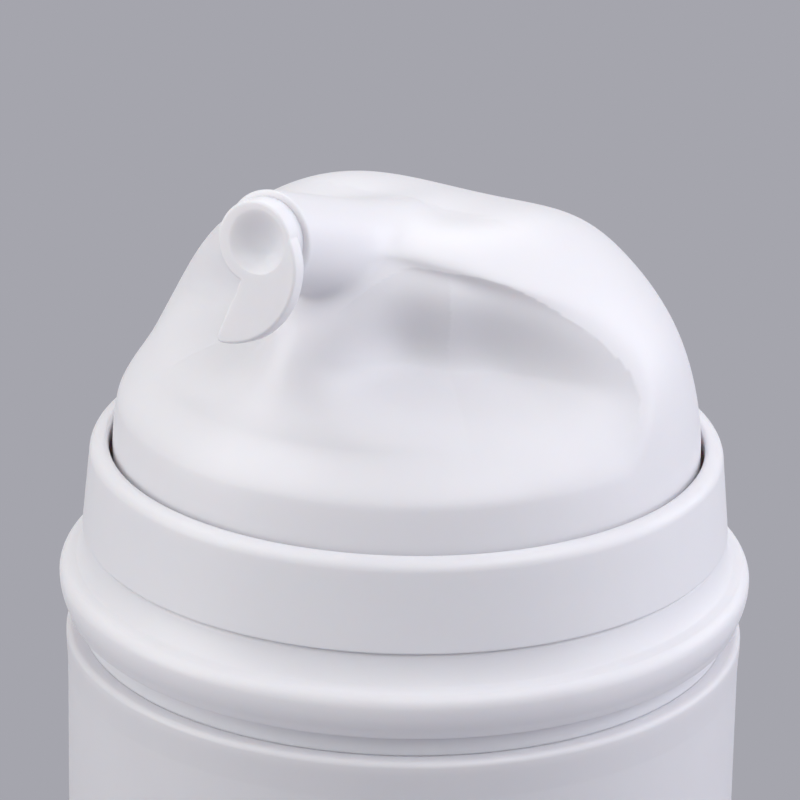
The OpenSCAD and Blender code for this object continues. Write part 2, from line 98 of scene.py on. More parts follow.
def add_node(tree: bpy.types.NodeTree, kind: str, settings: dict | None = None,
             values: dict | None = None, links: dict | None = None) -> bpy.types.Node:
    """Adds one shader node.

    Args:
        tree: node tree that gets the node.
        kind: Blender's type name of the node.
        settings: attributes set on the node.
        values: default values by input name or index.
        links: output sockets by input name or index.

    Returns:
        The new node.
    """
    node = tree.nodes.new(kind)
    for name, value in (settings or {}).items():
        setattr(node, name, value)
    for name, value in (values or {}).items():
        node.inputs[name].default_value = value
    for name, socket in (links or {}).items():
        tree.links.new(socket, node.inputs[name])
    return node


def blank_material(name: str) -> tuple[bpy.types.Material, bpy.types.NodeTree]:
    """Makes a material with an empty node tree.

    Args:
        name: name of the material.

    Returns:
        The material and its node tree.
    """
    mat = bpy.data.materials.new(name)
    mat.use_nodes = True
    mat.node_tree.nodes.clear()
    return mat, mat.node_tree


@dataclass(frozen=True)
class MouldedPlastic:
    """Injection-moulded polyolefin with a satin skin.

    Light sinks a little way in and comes out warm, which softens edges and shadows. Flow marks are
    clouds about a centimetre wide. The grain is finer than a render shows, and breaks up the gloss.
    """

    name: str
    colour: str = "#E9E8EC"
    shade: str = "#E3E2E7"
    ior: float = 1.49
    roughness: float = 0.42
    gloss_spread: float = 0.05
    depth_mm: float = 1.6
    depth_rgb: tuple[float, float, float] = (1.0, 0.72, 0.55)
    scatter: float = 0.25
    flow_mm: float = 9.0
    grain_mm: float = 0.35
    grain_depth_mm: float = 0.004
    grain_strength: float = 0.25

    def build(self) -> bpy.types.Material:
        """Makes the material: cloudy flow marks in colour and gloss, and a fine moulded grain.

        Returns:
            The new material.
        """
        mat, tree = blank_material(self.name)
        place = add_node(tree, "ShaderNodeTexCoord").outputs["Object"]
        flow = add_node(tree, "ShaderNodeTexNoise", values={
            "Scale": 1 / (self.flow_mm * MM), "Detail": 3.0, "Roughness": 0.5},
            links={"Vector": place})
        tint = add_node(tree, "ShaderNodeMix", {"data_type": "RGBA"},
                        {6: linear(self.colour), 7: linear(self.shade)},
                        {0: flow.outputs["Fac"]})
        gloss = add_node(tree, "ShaderNodeMapRange", values={
            "To Min": self.roughness - self.gloss_spread,
            "To Max": self.roughness + self.gloss_spread},
            links={"Value": flow.outputs["Fac"]})
        grain = add_node(tree, "ShaderNodeTexNoise", values={
            "Scale": 1 / (self.grain_mm * MM), "Detail": 2.0}, links={"Vector": place})
        bump = add_node(tree, "ShaderNodeBump", values={
            "Strength": self.grain_strength, "Distance": self.grain_depth_mm * MM},
            links={"Height": grain.outputs["Fac"]})
        shader = add_node(tree, "ShaderNodeBsdfPrincipled", values={
            "IOR": self.ior, "Subsurface Weight": self.scatter,
            "Subsurface Radius": self.depth_rgb, "Subsurface Scale": self.depth_mm * MM},
            links={"Base Color": tint.outputs[2], "Roughness": gloss.outputs["Result"],
                   "Normal": bump.outputs["Normal"]})
        add_node(tree, "ShaderNodeOutputMaterial", links={"Surface": shader.outputs["BSDF"]})
        return mat


@dataclass(frozen=True)
class DrawnSteel:
    """Drawn stainless spring wire: bright metal whose gloss changes in fine specks."""

    name: str
    colour: str = "#C9C7C3"
    roughness: float = 0.3
    gloss_spread: float = 0.08
    speck_mm: float = 0.2

    def build(self) -> bpy.types.Material:
        """Makes the material: metal whose gloss varies in fine specks.

        Returns:
            The new material.
        """
        mat, tree = blank_material(self.name)
        place = add_node(tree, "ShaderNodeTexCoord").outputs["Object"]
        specks = add_node(tree, "ShaderNodeTexNoise", values={
            "Scale": 1 / (self.speck_mm * MM), "Detail": 2.0}, links={"Vector": place})
        gloss = add_node(tree, "ShaderNodeMapRange", values={
            "To Min": self.roughness - self.gloss_spread,
            "To Max": self.roughness + self.gloss_spread},
            links={"Value": specks.outputs["Fac"]})
        shader = add_node(tree, "ShaderNodeBsdfPrincipled", values={
            "Base Color": linear(self.colour), "Metallic": 1.0},
            links={"Roughness": gloss.outputs["Result"]})
        add_node(tree, "ShaderNodeOutputMaterial", links={"Surface": shader.outputs["BSDF"]})
        return mat


@dataclass(frozen=True)
class NitrileRubber:
    """Moulded nitrile seal: matt black with a dusty bloom."""

    name: str
    colour: str = "#242424"
    bloom: str = "#3A3A38"
    ior: float = 1.52
    roughness: float = 0.7
    bloom_mm: float = 1.5

    def build(self) -> bpy.types.Material:
        """Makes the material: two greys mixed in small clouds.

        Returns:
            The new material.
        """
        mat, tree = blank_material(self.name)
        place = add_node(tree, "ShaderNodeTexCoord").outputs["Object"]
        dust = add_node(tree, "ShaderNodeTexNoise", values={
            "Scale": 1 / (self.bloom_mm * MM), "Detail": 4.0}, links={"Vector": place})
        tint = add_node(tree, "ShaderNodeMix", {"data_type": "RGBA"},
                        {6: linear(self.colour), 7: linear(self.bloom)},
                        {0: dust.outputs["Fac"]})
        shader = add_node(tree, "ShaderNodeBsdfPrincipled", values={
            "Roughness": self.roughness, "IOR": self.ior}, links={"Base Color": tint.outputs[2]})
        add_node(tree, "ShaderNodeOutputMaterial", links={"Surface": shader.outputs["BSDF"]})
        return mat


def smooth_min(a: np.ndarray, b: np.ndarray, width: float | np.ndarray) -> np.ndarray:
    """Smaller of two distances, rounded over a width.

    Formula: min(a, b) less h cubed times width / 6, where h = max(width - |a - b|, 0) / width.

    Args:
        a: first distance.
        b: second distance.
        width: width of the rounding, in the distances' unit.

    Returns:
        The blended distance.
    """
    h = np.maximum(width - np.abs(a - b), 0) / width
    return np.minimum(a, b) - h**3 * width / 6


def smooth_max(a: np.ndarray, b: np.ndarray, width: float | np.ndarray) -> np.ndarray:
    """Larger of two distances, rounded over a width: the negative of smooth_min of negatives.

    Args:
        a: first distance.
        b: second distance.
        width: width of the rounding.

    Returns:
        The blended distance.
    """
    return -smooth_min(-a, -b, width)


def ease(t: np.ndarray) -> np.ndarray:
    """Smooth step of t from 0 to 1: 3 t squared less 2 t cubed, held outside that range."""
    c = np.clip(t, 0, 1)
    return c * c * (3 - 2 * c)


def grid_mesh(name: str, rows: np.ndarray) -> bpy.types.Object:
    """Closed mesh from rows of points that each run once round, first and last row a single point.

    Args:
        name: name of the piece.
        rows: points in millimetres, shape (rows, columns, 3). The first and the last row hold one
            point repeated, and become a pole each.

    Returns:
        The new object, in metres. Its faces point outwards where the rows run anticlockwise, seen
        from above, and climb.
    """
    n, m, _ = rows.shape
    body = rows[1:-1].reshape(-1, 3)
    points = np.concatenate([rows[0, :1], body, rows[-1, :1]]) * MM
    j = np.arange(m)
    k = (j + 1) % m
    ring = 1 + np.arange(n - 3)[:, None] * m
    quads = np.stack([ring + j, ring + k, ring + m + k, ring + m + j], -1).reshape(-1, 4)
    last = 1 + (n - 3) * m
    top = len(points) - 1
    first_fan = np.stack([np.zeros(m, int), 1 + k, 1 + j], -1)
    last_fan = np.stack([last + j, last + k, np.full(m, top)], -1)
    corners = np.concatenate([first_fan.ravel(), quads.ravel(), last_fan.ravel()]).astype(np.int32)
    sizes = np.concatenate([np.full(m, 3), np.full(len(quads), 4), np.full(m, 3)])
    starts = np.concatenate([[0], np.cumsum(sizes)[:-1]]).astype(np.int32)
    mesh = bpy.data.meshes.new(name)
    mesh.vertices.add(len(points))
    mesh.vertices.foreach_set("co", points.astype(np.float32).ravel())
    mesh.loops.add(len(corners))
    mesh.loops.foreach_set("vertex_index", corners)
    mesh.polygons.add(len(sizes))
    mesh.polygons.foreach_set("loop_start", starts)
    mesh.update(calc_edges=True)
    mesh.validate()
    mesh.shade_smooth()
    piece = bpy.data.objects.new(name, mesh)
    bpy.context.scene.collection.objects.link(piece)
    return piece


def arc(centre: tuple[float, float], radius: float, start: float, end: float,
        count: int) -> np.ndarray:
    """Points of an arc: centre plus radius times the cosine and sine of the angle.

    Args:
        centre: the arc's centre.
        radius: its radius.
        start: first angle in degrees.
        end: last angle in degrees.
        count: number of points.

    Returns:
        Points of shape (count, 2).
    """
    a = np.radians(np.linspace(start, end, count))
    return np.stack([centre[0] + radius * np.cos(a), centre[1] + radius * np.sin(a)], -1)


def supported(points: np.ndarray, long_mm: float = 0.8, near: float = 0.12) -> np.ndarray:
    """Profile with extra points close to both ends of its long straight runs, for even shading.

    Args:
        points: profile points of shape (n, 2).
        long_mm: length from which a run gets them.
        near: distance of the extra points from the run's ends.

    Returns:
        The longer profile.
    """
    start, end = points[:-1], points[1:]
    length = np.hypot(*(end - start).T)[:, None]
    shares = np.hstack([np.full_like(length, near), length / 2, length - near])
    shares /= np.maximum(length, near)
    added = start[:, None] + shares[..., None] * (end - start)[:, None]
    wanted = np.repeat(length > long_mm, 3, 1)
    keep = np.hstack([wanted, np.ones_like(length, bool)])
    return np.concatenate([points[:1], np.concatenate([added, end[:, None]], 1)[keep]])


def revolve(name: str, profile: np.ndarray) -> bpy.types.Object:
    """Body of revolution: each profile point (r, z) runs round as (r cos a, r sin a, z).

    Args:
        name: name of the piece.
        profile: closed loop of points (r, z), counterclockwise with r to the right. It stays clear
            of the axis, so the mesh is one closed ring without a pole.

    Returns:
        The new object.
    """
    loop = supported(np.concatenate([profile, profile[:1]]))[:-1]
    n, m = len(loop), TURNED_COLUMNS
    a = np.linspace(0, 2 * math.pi, m, endpoint=False)
    ring = np.stack([loop[:, :1] * np.cos(a), loop[:, :1] * np.sin(a),
                     np.repeat(loop[:, 1:], m, 1)], -1)
    i, j = np.meshgrid(np.arange(n), np.arange(m), indexing="ij")
    up, right = (i + 1) % n, (j + 1) % m
    quads = np.stack([i * m + j, i * m + right, up * m + right, up * m + j], -1).reshape(-1, 4)
    mesh = bpy.data.meshes.new(name)
    mesh.from_pydata((ring.reshape(-1, 3) * MM).tolist(), [], quads.tolist())
    mesh.validate()
    mesh.shade_smooth()
    piece = bpy.data.objects.new(name, mesh)
    bpy.context.scene.collection.objects.link(piece)
    return piece


@dataclass
class HeadForm:
    """Outer form of the press head as one blended distance field in u, v and z.

    Names that end in share are slopes that bring a height or a reach near to a distance. Turns are
    directions from the spout in degrees. A section plane is given by its height from pad_z or its
    distance behind the spout's end, a slope in degrees and the steps to the next plane.
    """

    dome_r: float = 21.65
    dome_z: float = 14.0
    dome_h: float = 20.9
    skirt_z: float = 5.0
    pad_z: float = 32.8
    pad_rise: float = 0.15
    pad_fall: tuple[float, float] = (0.02, 0.018)
    pad_dish: float = 0.009
    pad_round: float = 3.0
    pad_share: float = 0.95
    cheek: float = 0.4
    cheek_at: tuple[float, float] = (98.0, 24.2)
    cheek_size: tuple[float, float] = (26.0, 4.0)
    flat_depth: float = 1.5
    flat_z: float = 22.5
    flat_h: float = 4.5
    flat_rise: tuple[float, float] = (17.6, 21.0)
    flat_span: float = 78.0
    dent_depth: float = 4.3
    dent_turn: float = 45.0
    dent_span: float = 33.5
    dent_lead: float = 31.0
    dent_z: float = 24.4
    dent_drop: float = 0.0006
    dent_climb: float = 0.045
    dent_above: float = 4.8
    dent_taper: float = 0.0012
    dent_least: float = 0.8
    dent_below: float = 2.35
    web_drop: float = 0.6
    hood_edge: float = -0.1
    hood_z: float = 24.0
    hood_curve: float = 0.13
    hood_share: float = 0.8
    hood_blend: float = 1.8
    hood_join: float = 3.0
    low_join: float = 2.6
    join_onset: float = 2.0
    join_least: float = 0.01
    spout_r: float = 3.45
    reach: float = 19.3
    spout_z: float = 35.85
    spout_l: float = 26.0
    spout_round: tuple[float, float] = (0.5, 4.0)
    rise: float = 19.4
    tilt: float = 9.0
    tube_blend: float = 2.5
    skirt_steps: tuple[int, int] = (4, 8)
    hood_start: float = 0.5
    hood_foot: tuple[float, int] = (3.0, 6)
    hood_planes: tuple[tuple[float, float, int], ...] = (
        (-5.3, 4.0, 5), (-2.8, 6.0, 5), (-0.8, 10.0, 5), (1.0, 16.0, 6))
    spout_planes: tuple[float, ...] = (0.8, 0.2, 0.02)
    spout_back: tuple[float, float, int] = (3.2, 48.0, 4)
    side_gap: float = 0.35
    crowding: float = 0.4
    far: float = 30.0
    halvings: int = 24

    def dome(self, u: np.ndarray, v: np.ndarray, z: np.ndarray) -> np.ndarray:
        """Half ellipsoid on a cylinder: length of (u, v, stretched z) less the radius."""
        up = np.maximum(z - self.dome_z, 0) * self.dome_r / self.dome_h
        return np.sqrt(u * u + v * v + up * up) - self.dome_r

    def pad(self, u: np.ndarray, v: np.ndarray, z: np.ndarray) -> np.ndarray:
        """Height above the thumb pad, a parabola that falls to the rear, dished across."""
        line, curve = self.pad_fall
        run = np.where(u > 0, self.pad_rise * u, line * u - curve * u * u)
        return z - self.pad_z - run - self.pad_dish * v * v

    def edge(self, z: np.ndarray | float) -> np.ndarray | float:
        """Forward reach of the hood's front edge: a parabola in z."""
        return self.hood_edge + self.hood_curve * (z - self.hood_z) ** 2

    def dent(self, turn: np.ndarray, z: np.ndarray) -> np.ndarray:
        """Depth of the scoop and of the flat over the whole front that it lies in.

        The scoop is a bell curve in height, steeper below its middle than above it, times a bell
        curve of the fourth power round the axis. Towards the spout its middle climbs in a line.
        Away from it the middle sinks as a parabola, and to both sides the upper flank narrows. The
        flat is an eased step in height that fades out as a bell curve above, times a bell curve of
        the sixth power round the axis.

        Args:
            turn: direction from the spout in degrees, without sign.
            z: height above the rim.

        Returns:
            Depth in millimetres.
        """
        off = (turn - self.dent_turn) ** 2
        ahead = np.maximum(self.dent_turn - turn, 0)
        sink = np.where(ahead > 0, 0, self.dent_drop * off)
        middle = self.dent_z - sink + self.dent_climb * ahead
        above = np.maximum(self.dent_above - self.dent_taper * off, self.dent_least)
        width = np.where(z > middle, above, self.dent_below)
        span = np.where(turn < self.dent_turn, self.dent_lead, self.dent_span)
        along = np.exp(-(off**2) / span**4)
        hollow = self.dent_depth * along * np.exp(-(((z - middle) / width) ** 2))
        start, full = self.flat_rise
        fade = np.exp(-((np.maximum(z - self.flat_z, 0) / self.flat_h) ** 2))
        flat = (self.flat_depth * np.exp(-((turn / self.flat_span) ** 6))
                * ease((z - start) / (full - start)) * fade)
        return hollow + flat

    def tube(self, u: np.ndarray, v: np.ndarray, z: np.ndarray) -> np.ndarray:
        """Spout: distance from its sloping axis less its radius, cut by the tilted end face."""
        c, s = math.cos(math.radians(self.rise)), math.sin(math.radians(self.rise))
        ct, st = math.cos(math.radians(self.tilt)), math.sin(math.radians(self.tilt))
        du, dz = u - self.reach, z - self.spout_z
        side = np.hypot(dz * c - du * s, v) - self.spout_r
        at_end, at_root = self.spout_round
        cut = smooth_max(side, du * ct + dz * st, at_end)
        return smooth_max(cut, -du * c - dz * s - self.spout_l, at_root)

    def field(self, u: np.ndarray, v: np.ndarray, z: np.ndarray) -> np.ndarray:
        """Whole head: dome with cheeks and scoops, cut by the pad, joined to the spout.

        The hood is the dome cut by the pad and by its own front edge. Under it lies the scooped
        dome, cut by a pad that drops with the scoop. Both are joined to the spout, and then to each
        other over a width that grows with the scoop's depth.

        Args:
            u: forward coordinate.
            v: sideways coordinate.
            z: height above the bottle's rim.

        Returns:
            Negative inside the head, positive outside it.
        """
        turn = np.degrees(np.arctan2(np.abs(v), u))
        across = (turn - self.cheek_at[0]) / self.cheek_size[0]
        upward = (z - self.cheek_at[1]) / self.cheek_size[1]
        swell = self.cheek * np.exp(-(across**2) - upward**2)
        dome = self.dome(u, v, z) - swell
        top = self.pad_share * self.pad(u, v, z)
        hood = smooth_max(smooth_max(dome, top, self.pad_round),
                          self.hood_share * (u - self.edge(z)), self.hood_blend)
        dent = self.dent(turn, z)
        low = smooth_max(dome + dent, top + np.minimum(dent, self.web_drop), self.pad_round)
        tube = self.tube(u, v, z)
        join = np.maximum(self.low_join * np.minimum(1, self.join_onset * dent), self.join_least)
        return smooth_min(smooth_min(low, tube, self.tube_blend),
                          smooth_min(hood, tube, self.hood_join), join)

    def behind_end(self, d: float) -> tuple[float, float]:
        """Point (u, z) on the spout's end axis, d behind the end face."""
        t = math.radians(self.tilt)
        return (self.reach - d * math.cos(t), self.spout_z - d * math.sin(t))

    def skin(self, per_step: int, columns: int) -> tuple[np.ndarray, np.ndarray]:
        """Rings of the outer skin from the skirt's edge to the spout's end.

        Each ring lies in a section plane with a middle (u, z) and a slope. A point is the middle
        plus reach times (cos a forward, sin a sideways), and reach is halved in on the place where
        the field changes sign. Under the hood the middles follow the hood's edge, and the rays at
        a quarter turn run out along that edge, crowded towards it on both sides.

        Args:
            per_step: section planes for each step between two given planes.
            columns: points round each ring, two less than a multiple of four.

        Returns:
            Points and outward normals, both of shape (rings, columns, 3), in u, v and z.
        """
        keys = [((0.0, z), 0.0, n) for z, n in zip((self.skirt_z, self.dome_z), self.skirt_steps)]
        low_z, high_z = self.hood_z - self.hood_start, self.pad_z + self.hood_planes[-1][0]
        keys += [((self.edge(z), z), slope, steps) for z, slope, steps in (
            (low_z, *self.hood_foot), *((self.pad_z + up, s, n) for up, s, n in self.hood_planes))]
        back, slope, steps = self.spout_back
        keys += [(self.behind_end(back), slope, steps)]
        keys += [(self.behind_end(d), 90 - self.tilt, 1) for d in self.spout_planes]
        mids, slopes = [], []
        for (m0, s0, steps), (m1, s1, _) in zip(keys[:-1], keys[1:]):
            t = np.linspace(0, 1, steps * per_step, endpoint=False)[:, None]
            mids.append((1 - t) * np.array(m0) + t * np.array(m1))
            slopes.append(((1 - t) * s0 + t * s1)[:, 0])
        mid = np.concatenate([*mids, [keys[-1][0]]])
        slope = np.radians(np.concatenate([*slopes, [keys[-1][1]]]))
        bowed = (mid[:, 1] > low_z) & (mid[:, 1] < high_z)
        mid[:, 0] = np.where(bowed, self.edge(mid[:, 1]), mid[:, 0])
        even = np.linspace(0, 1, (columns + 2) // 4)
        lean = (1 - self.crowding) * even + self.crowding * np.sin(even * math.pi / 2)
        front = (90 - self.side_gap) * lean
        turn = np.concatenate([front, 180 - front[::-1]])
        turn = np.radians(np.concatenate([turn, 360 - turn[-2:0:-1]]))
        du = np.cos(slope)[:, None] * np.cos(turn)
        dz = -np.sin(slope)[:, None] * np.cos(turn)
        dv = np.broadcast_to(np.sin(turn), du.shape)
        low, high = np.zeros(du.shape), np.full(du.shape, self.far)
        for _ in range(self.halvings):
            r = (low + high) / 2
            inside = self.field(mid[:, :1] + r * du, r * dv, mid[:, 1:] + r * dz) < 0
            low, high = np.where(inside, r, low), np.where(inside, high, r)
        points = np.stack([mid[:, :1] + low * du, low * dv, mid[:, 1:] + low * dz], -1)
        return points, self.normals(points)

    def normals(self, points: np.ndarray) -> np.ndarray:
        """Unit gradient of the field by central differences.

        Args:
            points: points in u, v and z.

        Returns:
            Outward unit normals of the same shape.
        """
        step = 0.02
        offsets = np.eye(3) * step
        slopes = [self.field(*np.moveaxis(points + o, -1, 0))
                  - self.field(*np.moveaxis(points - o, -1, 0)) for o in offsets]
        g = np.stack(slopes, -1)
        return g / np.maximum(np.linalg.norm(g, axis=-1, keepdims=True), 1e-9)


@dataclass
class PressHead:
    """The press head: outer skin, hollow skirt, seat for the stem socket and outlet bore.

    The roof's slope is given by how far its upper and lower ends lie inside the skirt's wall and
    above the dome's foot. A nick is a short step beside a corner that keeps its shading crisp.
    """

    rim: float
    form: HeadForm = field(default_factory=HeadForm)
    skirt_wall: float = 1.7
    edge_round: float = 0.35
    roof_z: float = 22.5
    roof_in: float = 9.0
    slope_in: float = 3.4
    slope_up: float = 5.5
    wall_up: float = 1.0
    nick: float = 0.01
    boss_r: float = 7.6
    seat_r: float = 6.01
    seat_z: tuple[float, float] = (20.2, 28.5)
    bore_r: float = 1.6
    bore_l: float = 5.0
    bore_lip: float = 0.1
    face_share: float = 0.9
    per_step: int = 4
    rings_in_edge: int = 3
    columns: int = 318

    def inner_profile(self) -> np.ndarray:
        """Points (r, z) from the middle of the socket's seat out and down to the skirt's edge."""
        r = self.form.dome_r - self.skirt_wall
        e = self.edge_round
        low, foot = self.form.skirt_z, self.form.dome_z
        mouth, end = self.seat_z
        return supported(np.concatenate([
            [[0.0, end], [self.seat_r - self.nick, end], [self.seat_r, end - 2 * self.nick],
             [self.seat_r, mouth], [self.boss_r, mouth], [self.boss_r, self.roof_z],
             [r - self.roof_in, self.roof_z], [r - self.slope_in, foot + self.slope_up],
             [r, foot + self.wall_up]],
            arc((r + e, low + e), e, 180, 270, 6),
            arc((self.form.dome_r - e, low + e), e, 270, 350, 6)]))

    def build(self) -> bpy.types.Object:
        """Makes the head as one closed grid: inside, skirt's edge, skin, end face and bore.

        The skin's lowest rings are dropped, because the rounding of the skirt's edge stands there.

        Returns:
            The head's object.
        """
        skin, normal = self.form.skin(self.per_step, self.columns)
        skin, normal = skin[self.rings_in_edge :], normal[self.rings_in_edge :]
        out = skin[0]
        turn = np.arctan2(out[:, 1], out[:, 0])
        profile = self.inner_profile()
        inside = np.stack([profile[:, :1] * np.cos(turn), profile[:, :1] * np.sin(turn),
                           np.repeat(profile[:, 1:], self.columns, 1)], -1)
        end_rows = self.end_rows(skin[-1])
        rows = np.concatenate([inside, skin, end_rows])
        world = np.stack([rows[..., 1], -rows[..., 0], rows[..., 2] + self.rim], -1)
        piece = grid_mesh("press_head", world)
        self.set_normals(piece, inside, skin, normal)
        return piece

    def end_rows(self, last: np.ndarray) -> np.ndarray:
        """Rows from the skin's last ring over the flat end face and down the outlet bore.

        Args:
            last: last ring of the skin.

        Returns:
            Rows that end in one point at the bore's floor.
        """
        t = math.radians(self.form.tilt)
        back = -np.array([math.cos(t), 0.0, math.sin(t)])
        centre = np.array([self.form.reach, 0.0, self.form.spout_z])
        flat = last - centre
        flat = flat - (flat @ back)[:, None] * back
        wide = np.linalg.norm(flat, axis=1)[:, None]
        bore, lip, deep = self.bore_r, self.bore_lip, self.bore_l
        steps = [(self.face_share * wide, 0.0), (bore + lip, 0.0), (bore, lip), (bore, 4 * lip),
                 (bore, deep - 2 * lip), (bore, deep), (0.0, deep)]
        return np.stack([centre + r * flat / wide + d * back for r, d in steps])

    def set_normals(self, piece: bpy.types.Object, inside: np.ndarray, skin: np.ndarray,
                    normal: np.ndarray) -> None:
        """Gives the skin the field's own normals, and leaves the rest as its faces give it.

        Args:
            piece: the head's object.
            inside: rows before the skin.
            skin: rows of the skin.
            normal: the skin's normals in u, v and z.
        """
        mesh = piece.data
        given = np.zeros(len(mesh.vertices) * 3, np.float32)
        mesh.vertices.foreach_get("normal", given)
        given = given.reshape(-1, 3)
        first = 1 + len(inside) * self.columns
        count = (len(skin) - 2) * self.columns
        world = np.stack([normal[..., 1], -normal[..., 0], normal[..., 2]], -1)
        given[first : first + count] = world[1:-1].reshape(-1, 3)
        mesh.normals_split_custom_set_from_vertices(given.tolist())


@dataclass
class NozzlePlug:
    """The pull-out plug: a dimpled disc with a curled tab, and a stalk in the outlet bore.

    Arcs are given by their first and last angle in degrees and their number of points. The crisp
    values say how close the last row stands below the tab's back and below the rounded edge.
    """

    rim: float
    form: HeadForm
    front_r: float = 2.95
    draft: float = 0.1
    thickness: float = 1.75
    edge: float = 0.22
    seat_gap: float = 0.02
    star: tuple[float, float] = (1.3, -2.2)
    dimple_r: float = 2.3
    dimple_depth: float = 1.1
    dimple_power: float = 1.5
    dimple_top: tuple[float, float] = (0.28, 0.12)
    dimple_low: tuple[float, float] = (0.65, -0.85)
    tab_back: float = 0.75
    tab_turn: float = 5.74
    tab_middle: tuple[float, float] = (-2.13, -1.8)
    root_turn: float = 4.62
    tip: tuple[float, float] = (-1.92, -7.12)
    tip_r: float = 0.42
    disc_arc: tuple[float, float, int] = (19, 254, 200)
    inner_edge: tuple[tuple[float, float], ...] = ((-1.12, -3.88), (-1.7, -5.31), (-2.1, -6.48))
    tip_arc: tuple[float, float, int] = (165, 268, 24)
    tab_arc: tuple[float, float, int] = (-87, 0, 120)
    root_arc: tuple[float, float, int] = (2, 35, 40)
    softenings: int = 2
    stalk_r: float = 1.54
    stalk_l: float = 4.0
    stalk_round: float = 0.3
    corner: float = 0.12
    tab_lift: float = 0.03
    crisp: tuple[float, float] = (0.08, 0.06)
    stalk_land: float = 0.2
    face_in: float = 0.03
    even_share: float = 0.04
    face_rings: int = 72
    columns: int = 384

    def outline(self) -> np.ndarray:
        """Outline of disc and tab as seen from the front, one point per star angle.

        The disc's arc runs over the top to the notch, the tab's inner edge is nearly straight, the
        tip is round, and two arcs lead from it round the outer edge back to the disc. Each point is
        where a ray from the star point meets that outline.

        Returns:
            Points of shape (columns, 2), counterclockwise.
        """
        side = self.tab_middle[0] + self.tab_turn - self.root_turn
        raw = np.concatenate([
            arc((0, 0), self.front_r, *self.disc_arc), self.inner_edge,
            arc(self.tip, self.tip_r, *self.tip_arc),
            arc(self.tab_middle, self.tab_turn, *self.tab_arc),
            arc((side, self.tab_middle[1]), self.root_turn, *self.root_arc)])
        star = np.array(self.star)
        from_star = raw - star
        angle = np.arctan2(from_star[:, 1], from_star[:, 0]) % (2 * math.pi)
        order = np.argsort(angle)
        turn = np.linspace(0, 2 * math.pi, self.columns, endpoint=False)
        reach = np.interp(turn, angle[order], np.hypot(*from_star.T)[order], period=2 * math.pi)
        for _ in range(self.softenings):
            reach = 0.25 * np.roll(reach, 1) + 0.5 * reach + 0.25 * np.roll(reach, -1)
        return star + reach[:, None] * np.stack([np.cos(turn), np.sin(turn)], -1)

    def dimple(self, xy: np.ndarray) -> np.ndarray:
        """Depth of the dimple, a bowl whose deepest point lies off its middle.

        Circles shrink from the mouth to the deepest point while their middles move there in a
        straight line. With s the share of the mouth's radius of the circle through a point, the
        depth is the greatest one times (1 - s squared) to a power.

        Args:
            xy: points of shape (n, 2).

        Returns:
            Depths in millimetres.
        """
        low = np.array(self.dimple_low)
        drift = np.array(self.dimple_top) - low
        q = xy - low
        a = self.dimple_r**2 - drift @ drift
        b = q @ drift
        s = (np.sqrt(b * b + a * np.sum(q * q, -1)) - b) / a
        return self.dimple_depth * np.maximum(1 - s * s, 0) ** self.dimple_power

    def build(self) -> bpy.types.Object:
        """Makes the plug as one closed grid from the stalk's end to the star point on the face.

        Rows up to the disc's side are circles at the outline's own angles, mixed with a little of
        even ones so that none coincide. Rows from the tab's back on are the outline, grown by the
        draft or drawn in by the rounded edge.

        Returns:
            The plug's object.
        """
        out = self.outline()
        along = np.roll(out, -1, 0) - np.roll(out, 1, 0)
        inward = np.stack([-along[:, 1], along[:, 0]], -1)
        inward /= np.linalg.norm(inward, axis=1)[:, None]
        polar = np.maximum.accumulate(np.unwrap(np.arctan2(out[:, 1], out[:, 0])))
        even = polar[0] + np.linspace(0, 2 * math.pi, self.columns, endpoint=False)
        polar = (1 - self.even_share) * polar + self.even_share * even
        round_ = np.stack([np.cos(polar), np.sin(polar)], -1)
        r0, back, top, low = self.stalk_r, self.tab_back, self.thickness, -self.stalk_l
        e, corner = self.stalk_round, self.corner

        def grown(z: float) -> float:
            """Draft of the side at a height above the seat."""
            return self.draft * (1 - z / self.thickness)

        rows: list[tuple[np.ndarray, float | np.ndarray]] = [(0 * round_, low)]
        rows += [(r * round_, z) for r, z in arc((r0 - e, low + e), e, -90, 0, 5)]
        rows += [(r0 * round_, z)
                 for z in (low + e + self.stalk_land, -self.stalk_land, 0.0)]
        seat = self.front_r + self.draft - corner - r0
        rows += [((r0 + seat * t) * round_, self.seat_gap) for t in (0.05, 0.5, 0.95, 1.0)]
        rows += [((self.front_r + grown(z)) * round_, z)
                 for z in (self.seat_gap + corner, back - self.crisp[0], back)]
        inner = (self.front_r + grown(back)) * round_
        outer = out - inward * grown(back)
        rows += [((1 - t) * inner + t * outer, back + self.tab_lift * t)
                 for t in (0.08, 0.5, 0.92, 1.0)]
        rows += [(out - inward * grown(z), z)
                 for z in (back + corner, top - self.edge - self.crisp[1])]
        for a in np.linspace(0, 90, 7):
            c, s = math.cos(math.radians(a)), math.sin(math.radians(a))
            rows.append((out + inward * self.edge * (1 - c), top - self.edge * (1 - s)))
        face = out + inward * (self.edge + self.face_in)
        star = np.array(self.star)
        for t in np.concatenate([[1.0], np.linspace(0.98, 0.02, self.face_rings), [0.0]]):
            xy = star + t * (face - star)
            rows.append((xy, top - self.dimple(xy)))
        flat = np.stack([np.column_stack([xy, np.broadcast_to(z, self.columns)])
                         for xy, z in rows])
        t = math.radians(self.form.tilt)
        out_dir = np.array([0.0, -math.cos(t), math.sin(t)])
        up_dir = np.array([0.0, math.sin(t), math.cos(t)])
        place = np.array([0.0, -self.form.reach, self.rim + self.form.spout_z])
        world = (place + flat[..., :1] * np.array([1.0, 0.0, 0.0]) + flat[..., 1:2] * up_dir
                 + flat[..., 2:] * out_dir)
        return grid_mesh("nozzle_stopper", world)


